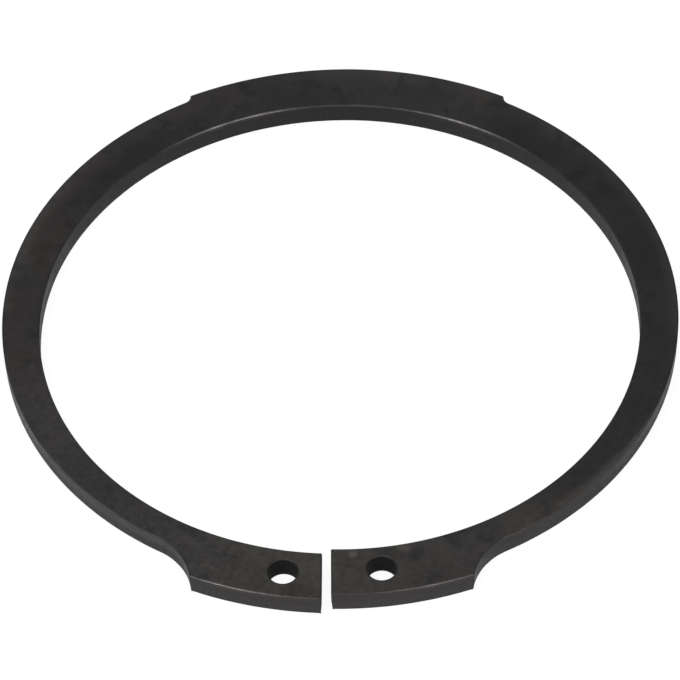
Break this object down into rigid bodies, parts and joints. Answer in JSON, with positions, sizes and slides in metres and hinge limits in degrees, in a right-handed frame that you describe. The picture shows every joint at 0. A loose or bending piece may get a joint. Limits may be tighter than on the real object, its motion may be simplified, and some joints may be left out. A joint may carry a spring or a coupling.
{
  "type": "external retaining ring",
  "caption": "External snap retaining ring: a flat spring steel ring with tapering arms, a raised back, a narrow gap and drilled lugs for circlip pliers.",
  "frame": {"origin": "on the shaft's axis, in the plane of the ring's underside", "axes": "+Z along the shaft, out of the face with the rolled edges; the gap faces -Y and the raised back +Y"},
  "size_m": [0.1164, 0.1223, 0.004],
  "materials": {
    "blackened_spring_steel": "blackened and oiled, satin, with bare metal showing along worn edges"
  },
  "bodies": {
    "root": {"retaining_ring": "blackened_spring_steel"}
  },
  "joints": []
}
